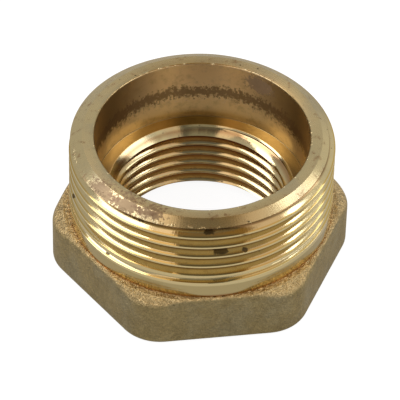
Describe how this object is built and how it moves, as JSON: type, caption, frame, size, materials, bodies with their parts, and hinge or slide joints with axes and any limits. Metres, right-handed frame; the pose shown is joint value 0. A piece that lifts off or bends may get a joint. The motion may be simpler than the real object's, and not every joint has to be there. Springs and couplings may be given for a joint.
{
  "type": "hex reducing bushing",
  "caption": "Brass hex bushing: a male pipe thread outside, a counterbore and a smaller female pipe thread inside, to join a large fitting to a smaller pipe.",
  "frame": {"origin": "centre of the hexagon's flat end", "axes": "+Z along the bore, out through the male thread; +Y square to a flat of the hexagon"},
  "size_m": [0.0542, 0.049, 0.0272],
  "materials": {
    "brass": "turned bright on the threads and rim, matte as forged on the hexagon"
  },
  "bodies": {
    "root": {"bushing_body": "brass"}
  },
  "joints": []
}
